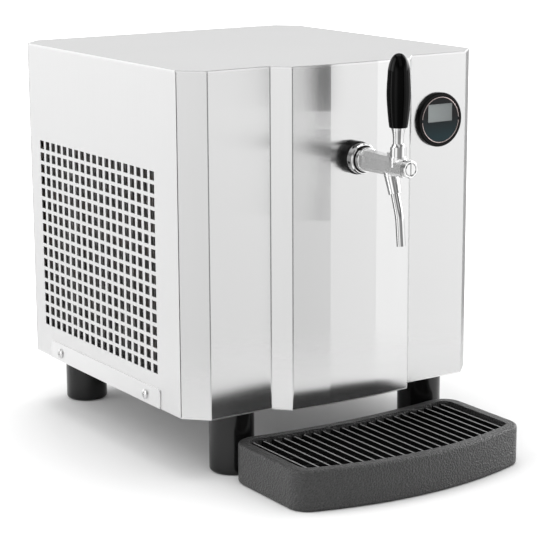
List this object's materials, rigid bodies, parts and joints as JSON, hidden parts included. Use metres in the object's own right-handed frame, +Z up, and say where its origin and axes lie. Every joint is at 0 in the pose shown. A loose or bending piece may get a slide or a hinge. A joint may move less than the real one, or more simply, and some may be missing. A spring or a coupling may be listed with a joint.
{
  "type": "countertop tap chiller",
  "caption": "Stainless countertop drink chiller with a lever tap, round display, perforated sides, tall feet and a loose slatted drip tray.",
  "frame": {"origin": "on the table, under the middle of the whole part's box", "axes": "+Z up, -Y towards the user, +X to the user's right"},
  "size_m": [0.388, 0.578, 0.4522],
  "materials": {
    "stainless": "fine brushed stainless sheet",
    "screw_steel": "machined steel",
    "foot_black": "smooth black moulded plastic",
    "tap_chrome": "polished chrome plate",
    "spout_steel": "polished stainless tube",
    "collar_black": "gloss black plastic",
    "handle_black": "high gloss black plastic",
    "seal_rubber": "soft black rubber",
    "valve_brass": "machined brass",
    "bezel_black": "gloss black plastic",
    "window_dark": "dark printed window",
    "screen_grey": "grey reflective screen, switched off",
    "tray_black": "grained black moulded plastic",
    "fin_aluminium": "mill finish aluminium",
    "copper": "drawn copper tube",
    "zinc_sheet": "galvanised sheet",
    "motor_grey": "grey enamel",
    "fan_plastic": "black moulded plastic",
    "foam": "moulded foam",
    "compressor_black": "black enamel",
    "box_black": "black moulded plastic",
    "hose_grey": "food grade hose"
  },
  "bodies": {
    "cabinet": {"base_tray": "stainless", "front_panel": "stainless", "rear_panel": "stainless", "left_side_panel": "stainless", "right_side_panel": "stainless", "top_panel": "stainless", "cover_screws": "screw_steel", "foot_bolts": "screw_steel", "foot_front_left": "foot_black", "foot_front_right": "foot_black", "foot_rear_left": "foot_black", "foot_rear_right": "foot_black", "coupling_nut": "tap_chrome", "tap_body": "tap_chrome", "tap_bonnet": "tap_chrome", "end_plug": "tap_chrome", "spout_tube": "spout_steel", "beverage_coil": "spout_steel", "shank": "spout_steel", "shank_backnut": "spout_steel", "inlet_fitting": "spout_steel", "inlet_nut": "spout_steel", "temperature_probe": "spout_steel", "shank_collar": "collar_black", "tail_gasket": "seal_rubber", "compressor_grommets": "seal_rubber", "display_housing": "bezel_black", "display_nut": "bezel_black", "display_window": "window_dark", "display_screen": "screen_grey", "condenser_fins": "fin_aluminium", "cold_block": "fin_aluminium", "condenser_tube": "copper", "discharge_line": "copper", "liquid_line": "copper", "filter_drier": "copper", "capillary_tube": "copper", "suction_line": "copper", "evaporator_tube": "copper", "fan_shroud": "zinc_sheet", "fan_bracket": "zinc_sheet", "fan_motor": "motor_grey", "insulation_front": "foam", "insulation_rear": "foam", "compressor_shell": "compressor_black", "compressor_cap": "compressor_black", "terminal_cover": "box_black", "control_box": "box_black", "power_inlet": "box_black", "switch_frame": "box_black", "wiring_loom": "box_black", "inlet_hose": "hose_grey"},
    "lever": {"tap_lever": "tap_chrome", "lever_handle": "handle_black"},
    "piston": {"valve_piston": "valve_brass", "valve_seal": "seal_rubber"},
    "fan": {"fan_rotor": "fan_plastic"},
    "tray": {"drip_tray": "tray_black"},
    "grille": {"drip_grille": "tray_black"},
    "rocker": {"switch_rocker": "box_black"}
  },
  "joints": [
    {"name": "lever_tilt", "type": "hinge", "parent": "cabinet", "child": "lever", "pos_m": [0, -0.229, 0.3552], "axis": [1, 0, 0], "range_deg": [0, 20]},
    {"name": "piston_slide", "type": "slide", "parent": "cabinet", "child": "piston", "axis": [0, 1, 0], "range_m": [0, 0.0067]},
    {"name": "fan_spin", "type": "hinge", "parent": "cabinet", "child": "fan", "pos_m": [-0.132, 0.0755, 0.2155], "axis": [1, 0, 0], "continuous": true},
    {"name": "tray_slide", "type": "slide", "parent": "cabinet", "child": "tray", "axis": [0, -1, 0], "range_m": [0, 0.15]},
    {"name": "grille_lift", "type": "slide", "parent": "tray", "child": "grille", "axis": [0, 0, 1], "range_m": [0, 0.024]},
    {"name": "switch_tilt", "type": "hinge", "parent": "cabinet", "child": "rocker", "pos_m": [-0.018, 0.257, 0.34], "axis": [1, 0, 0], "range_deg": [0, 20]}
  ],
  "couplings": [
    {"joint": "piston_slide", "follows": "lever_tilt", "m_per_rad": 0.0192}
  ]
}
